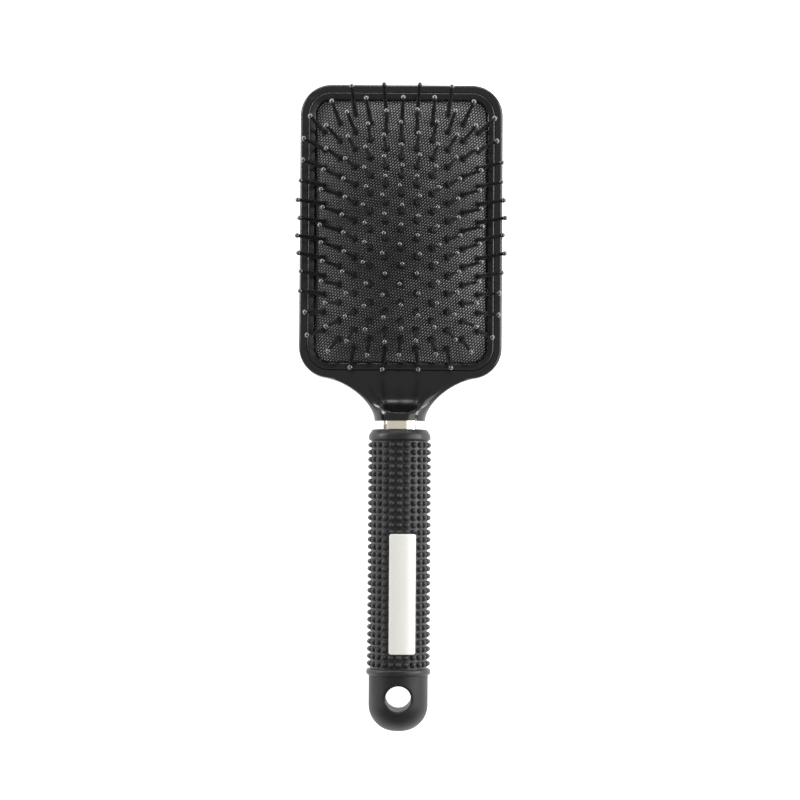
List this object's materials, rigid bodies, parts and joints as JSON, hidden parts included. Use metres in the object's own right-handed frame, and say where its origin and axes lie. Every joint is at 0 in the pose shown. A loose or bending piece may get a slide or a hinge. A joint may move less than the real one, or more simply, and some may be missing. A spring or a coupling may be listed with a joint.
{
  "type": "paddle hair brush",
  "caption": "Rectangular paddle hair brush with a domed cushion of ball-tipped pins, a bright ferrule, a studded rubber grip and an end cap with a hanging hole.",
  "frame": {"origin": "middle of the head's flat back, on the surface that the brush lies on", "axes": "+X across the head, +Y from the handle towards the head, +Z the way the pins point"},
  "size_m": [0.081, 0.2498, 0.0393],
  "materials": {
    "gloss_head": "gloss",
    "gloss_frame": "gloss",
    "cushion_rubber": "fine woven texture",
    "chrome": "polished",
    "core_plastic": "plain",
    "grip_rubber": "matte studded",
    "plate_silver": "satin",
    "cap_plastic": "satin",
    "pin_nylon": "semi-gloss"
  },
  "bodies": {
    "root": {"paddle_body": "gloss_head", "retaining_frame": "gloss_frame", "cushion_pad": "cushion_rubber", "ferrule": "chrome", "handle_core": "core_plastic", "grip_sleeve": "grip_rubber", "name_plate": "plate_silver", "end_cap": "cap_plastic"},
    "pins_1": {"pins_zone_1": "pin_nylon"},
    "pins_2": {"pins_zone_2": "pin_nylon"},
    "pins_3": {"pins_zone_3": "pin_nylon"},
    "pins_4": {"pins_zone_4": "pin_nylon"},
    "pins_5": {"pins_zone_5": "pin_nylon"},
    "pins_6": {"pins_zone_6": "pin_nylon"},
    "pins_7": {"pins_zone_7": "pin_nylon"},
    "pins_8": {"pins_zone_8": "pin_nylon"},
    "pins_9": {"pins_zone_9": "pin_nylon"},
    "pins_10": {"pins_zone_10": "pin_nylon"},
    "pins_11": {"pins_zone_11": "pin_nylon"},
    "pins_12": {"pins_zone_12": "pin_nylon"}
  },
  "joints": [
    {"name": "cushion_press", "type": "slide", "parent": "root", "child": "pins_1", "axis": [0, 0, -1], "range_m": [0, 0.004], "stiffness_N_per_m": 300, "deforming": ["cushion_pad"]},
    {"name": "zone_2_press", "type": "slide", "parent": "root", "child": "pins_2", "axis": [0, 0, -1], "range_m": [0, 0.0037], "stiffness_N_per_m": 200},
    {"name": "zone_3_press", "type": "slide", "parent": "root", "child": "pins_3", "axis": [0, 0, -1], "range_m": [0, 0.00339], "stiffness_N_per_m": 200},
    {"name": "zone_4_press", "type": "slide", "parent": "root", "child": "pins_4", "axis": [0, 0, -1], "range_m": [0, 0.00309], "stiffness_N_per_m": 200},
    {"name": "zone_5_press", "type": "slide", "parent": "root", "child": "pins_5", "axis": [0, 0, -1], "range_m": [0, 0.00278], "stiffness_N_per_m": 200},
    {"name": "zone_6_press", "type": "slide", "parent": "root", "child": "pins_6", "axis": [0, 0, -1], "range_m": [0, 0.00248], "stiffness_N_per_m": 200},
    {"name": "zone_7_press", "type": "slide", "parent": "root", "child": "pins_7", "axis": [0, 0, -1], "range_m": [0, 0.00217], "stiffness_N_per_m": 200},
    {"name": "zone_8_press", "type": "slide", "parent": "root", "child": "pins_8", "axis": [0, 0, -1], "range_m": [0, 0.00187], "stiffness_N_per_m": 200},
    {"name": "zone_9_press", "type": "slide", "parent": "root", "child": "pins_9", "axis": [0, 0, -1], "range_m": [0, 0.00156], "stiffness_N_per_m": 200},
    {"name": "zone_10_press", "type": "slide", "parent": "root", "child": "pins_10", "axis": [0, 0, -1], "range_m": [0, 0.00126], "stiffness_N_per_m": 200},
    {"name": "zone_11_press", "type": "slide", "parent": "root", "child": "pins_11", "axis": [0, 0, -1], "range_m": [0, 0.000956], "stiffness_N_per_m": 200},
    {"name": "zone_12_press", "type": "slide", "parent": "root", "child": "pins_12", "axis": [0, 0, -1], "range_m": [0, 0.000651], "stiffness_N_per_m": 200}
  ],
  "couplings": [
    {"joint": "zone_2_press", "follows": "cushion_press", "ratio": 0.9239},
    {"joint": "zone_3_press", "follows": "cushion_press", "ratio": 0.8478},
    {"joint": "zone_4_press", "follows": "cushion_press", "ratio": 0.7716},
    {"joint": "zone_5_press", "follows": "cushion_press", "ratio": 0.6955},
    {"joint": "zone_6_press", "follows": "cushion_press", "ratio": 0.6194},
    {"joint": "zone_7_press", "follows": "cushion_press", "ratio": 0.5433},
    {"joint": "zone_8_press", "follows": "cushion_press", "ratio": 0.4671},
    {"joint": "zone_9_press", "follows": "cushion_press", "ratio": 0.391},
    {"joint": "zone_10_press", "follows": "cushion_press", "ratio": 0.3149},
    {"joint": "zone_11_press", "follows": "cushion_press", "ratio": 0.2388},
    {"joint": "zone_12_press", "follows": "cushion_press", "ratio": 0.1626}
  ]
}
